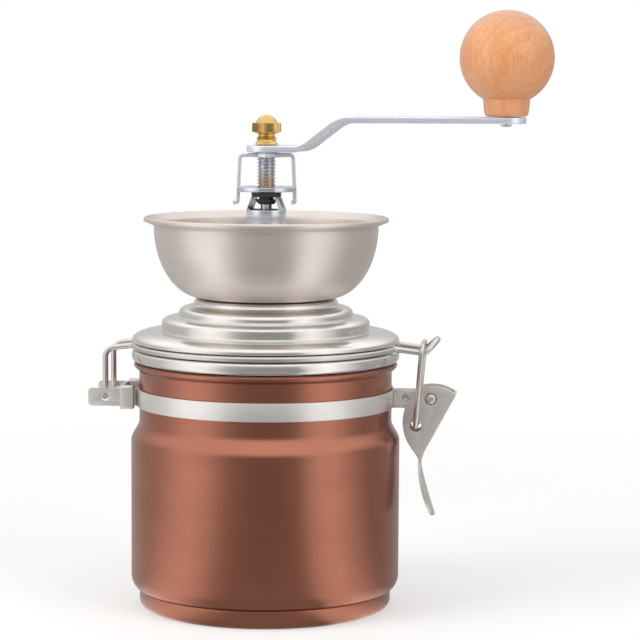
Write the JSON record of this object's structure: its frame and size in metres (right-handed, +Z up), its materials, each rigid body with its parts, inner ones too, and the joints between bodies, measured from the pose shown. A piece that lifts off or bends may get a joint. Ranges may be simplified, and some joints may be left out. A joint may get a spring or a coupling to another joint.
{
  "type": "manual coffee grinder",
  "caption": "Hand coffee grinder: clip-lid canister, stepped lid with an open bean hopper, burr mill and a cranked arm with a round wooden knob.",
  "frame": {"origin": "centre of the canister's foot, on the surface it stands on", "axes": "+Z up along the canister and spindle, +X from the hinge to the latch, +Y to the rear"},
  "size_m": [0.1705, 0.1, 0.2219],
  "materials": {
    "copper_lacquered_steel": "copper lacquer over brushed steel, satin",
    "bright_steel": "satin bright steel",
    "satin_steel": "fine brushed satin",
    "plated_steel": "bright zinc plating",
    "dark_steel": "oiled turned steel",
    "brass": "turned and knurled, polished",
    "burr_steel": "ground and hardened",
    "cast_zinc": "die cast, matt",
    "rubber": "moulded, pale",
    "beech": "turned beech, clear lacquer",
    "bush_plastic": "moulded nylon"
  },
  "bodies": {
    "canister": {"canister_shell": "copper_lacquered_steel", "canister_base": "copper_lacquered_steel", "band_front": "bright_steel", "band_rear": "bright_steel", "hinge_bracket": "satin_steel", "hinge_clip_front": "satin_steel", "hinge_clip_rear": "satin_steel", "ear_rivet": "satin_steel", "lever_pivot": "satin_steel"},
    "lid": {"lid_cover": "bright_steel", "lid_liner": "bright_steel", "gasket": "rubber", "lid_wire": "bright_steel", "hopper_bowl": "satin_steel", "bearing_tower": "plated_steel", "upper_bush": "bush_plastic", "tower_screw_1": "plated_steel", "tower_screw_2": "plated_steel", "tower_screw_3": "plated_steel", "burr_housing": "cast_zinc", "ring_burr": "burr_steel", "lower_bush": "bush_plastic", "mill_spring": "bright_steel"},
    "lever": {"latch_lever": "satin_steel"},
    "bail": {"latch_bail": "bright_steel"},
    "adjuster": {"adjusting_wheel": "plated_steel"},
    "spindle": {"spindle": "dark_steel", "cone_burr": "burr_steel", "burr_washer": "plated_steel", "burr_nut": "plated_steel"},
    "bracket": {"lock_bracket": "plated_steel"},
    "crank": {"crank_arm": "plated_steel", "knob_pin": "plated_steel"},
    "knob": {"wooden_knob": "beech"},
    "nut": {"acorn_nut": "brass"}
  },
  "joints": [
    {"name": "lid_open", "type": "hinge", "parent": "canister", "child": "lid", "pos_m": [-0.0588, 0, 0.0786], "axis": [0, -1, 0], "range_deg": [0, 100]},
    {"name": "lever_open", "type": "hinge", "parent": "canister", "child": "lever", "pos_m": [0.0618, 0, 0.079], "axis": [0, -1, 0], "range_deg": [0, 120]},
    {"name": "bail_swing", "type": "hinge", "parent": "lid", "child": "bail", "pos_m": [0.0587, 0, 0.09887], "axis": [0, -1, 0], "range_deg": [0, 100]},
    {"name": "crank_spin", "type": "hinge", "parent": "lid", "child": "adjuster", "pos_m": [0, 0, 0.1556], "axis": [0, 0, 1], "continuous": true},
    {"name": "grind_setting", "type": "slide", "parent": "adjuster", "child": "spindle", "axis": [0, 0, 1], "range_m": [0, 0.0015], "deforming": ["mill_spring"]},
    {"name": "bracket_lift", "type": "slide", "parent": "spindle", "child": "bracket", "axis": [0, 0, 1], "range_m": [0, 0.02]},
    {"name": "crank_lift", "type": "slide", "parent": "bracket", "child": "crank", "axis": [0, 0, 1], "range_m": [0, 0.02]},
    {"name": "knob_spin", "type": "hinge", "parent": "crank", "child": "knob", "pos_m": [0.08806, 0.0077, 0.19], "axis": [0, 0, 1], "continuous": true},
    {"name": "nut_off", "type": "slide", "parent": "crank", "child": "nut", "axis": [0, 0, 1], "range_m": [0, 0.02]}
  ]
}
